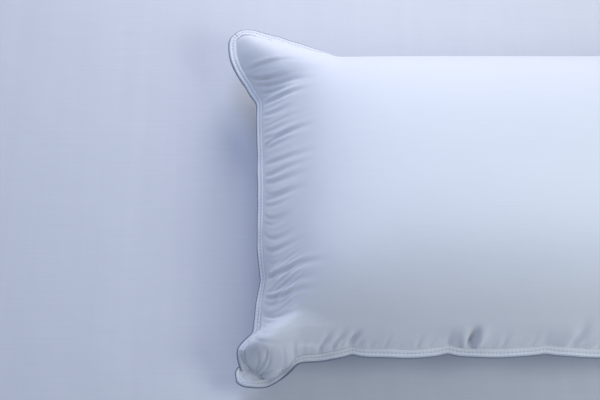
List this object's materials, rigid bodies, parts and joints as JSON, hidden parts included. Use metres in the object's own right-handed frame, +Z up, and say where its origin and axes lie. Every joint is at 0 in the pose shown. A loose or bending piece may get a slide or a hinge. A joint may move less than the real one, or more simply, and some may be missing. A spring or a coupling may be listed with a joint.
{
  "type": "bed pillow",
  "caption": "Plump rectangular bed pillow in white cotton, its edge bound with folded tape and a slim grey-blue piping, with soft pointed corners.",
  "frame": {"origin": "on the surface the pillow lies on, under the centre of its bounding box", "axes": "+X along the pillow's length, +Y across it, +Z up out of the bed"},
  "size_m": [0.7414, 0.4884, 0.1916],
  "materials": {
    "ticking": "smooth matt cotton percale",
    "down_filling": "loose down and small feathers",
    "binding_tape": "matt cotton tape",
    "piping_cord": "matt cotton cord",
    "sewing_thread": "spun thread",
    "label_cloth": "smooth woven ribbon"
  },
  "bodies": {
    "root": {"shell_top_panel": "ticking", "shell_bottom_panel": "ticking", "fill_core": "down_filling", "edge_binding": "binding_tape", "edge_piping": "piping_cord", "topstitch_needle_thread": "sewing_thread", "topstitch_bobbin_thread": "sewing_thread", "seam_needle_thread": "sewing_thread", "seam_bobbin_thread": "sewing_thread", "closing_stitches": "sewing_thread", "care_label": "label_cloth"}
  },
  "joints": []
}
